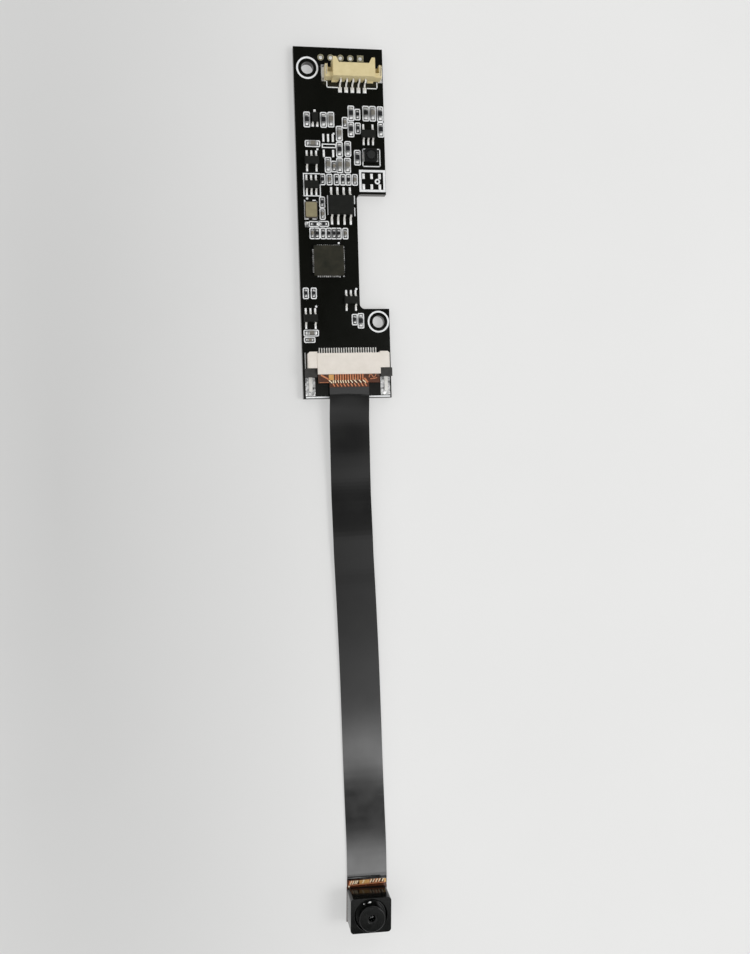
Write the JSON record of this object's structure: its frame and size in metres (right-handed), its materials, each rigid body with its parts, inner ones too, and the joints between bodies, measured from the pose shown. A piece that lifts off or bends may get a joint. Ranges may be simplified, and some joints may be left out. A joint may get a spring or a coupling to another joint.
{
  "type": "camera module",
  "caption": "Narrow circuit board with a wire header and a cable connector, and a flat flexible cable that ends in a small square camera head with a round lens.",
  "frame": {"origin": "middle of the circuit board's outline on its underside", "axes": "+Y along the board towards the wire header, +Z out of the side that carries the parts"},
  "size_m": [0.0181, 0.1782, 0.0075],
  "materials": {
    "black_mask": "gloss solder mask",
    "tinned_copper": "tinned",
    "plated_copper": "plated",
    "cream_moulding": "moulded",
    "ivory_moulding": "moulded",
    "black_moulding": "moulded",
    "contact_metal": "plated sheet",
    "tinned_sheet": "tinned sheet",
    "mould_compound": "matt",
    "processor_compound": "matt",
    "brown_ceramic": "matt",
    "capacitor_ceramic": "satin",
    "resistor_glaze": "satin",
    "lid_metal": "satin",
    "ferrite": "matt",
    "copper_wire": "enamelled",
    "amber_film": "gloss",
    "amber_backing": "satin",
    "black_film": "gloss",
    "steel_plate": "satin",
    "sensor_silicon": "polished",
    "clear_glass": "polished",
    "filter_glass": "polished"
  },
  "bodies": {
    "module": {"circuit_board": "black_mask", "plated_holes": "plated_copper", "solder_lands": "tinned_copper", "header_housing": "cream_moulding", "header_contacts": "contact_metal", "header_nails": "tinned_sheet", "fpc_housing": "ivory_moulding", "fpc_contacts": "contact_metal", "fpc_nails": "tinned_sheet", "processor_body": "processor_compound", "processor_leads": "tinned_sheet", "memory_body": "mould_compound", "memory_leads": "tinned_sheet", "interface_chip_body": "mould_compound", "interface_chip_leads": "tinned_sheet", "regulator_bodies": "mould_compound", "regulator_leads": "tinned_sheet", "transistor_body": "mould_compound", "transistor_leads": "tinned_sheet", "crystal_base": "brown_ceramic", "crystal_lid": "lid_metal", "inductor_shell": "ferrite", "inductor_drum": "ferrite", "inductor_winding": "copper_wire", "inductor_terminals": "tinned_sheet", "capacitors_large": "capacitor_ceramic", "resistors_large": "resistor_glaze", "capacitors_small": "capacitor_ceramic", "resistors_small": "resistor_glaze", "diode": "resistor_glaze", "flex_tab": "amber_film", "tab_stiffener": "amber_backing", "flex_strip": "black_film", "head_film": "amber_film", "head_stiffener": "steel_plate", "image_sensor": "sensor_silicon", "sensor_cover_glass": "clear_glass", "head_capacitors": "capacitor_ceramic", "ir_filter": "filter_glass", "lens_holder": "black_moulding", "lens_barrel": "black_moulding", "rear_lens": "clear_glass", "middle_lens": "clear_glass", "front_lens": "clear_glass", "lens_spacer": "black_moulding"},
    "slider": {"fpc_slider": "black_moulding"}
  },
  "joints": [
    {"name": "slider_travel", "type": "slide", "parent": "module", "child": "slider", "axis": [0, -1, 0], "range_m": [0, 0.0012]}
  ]
}
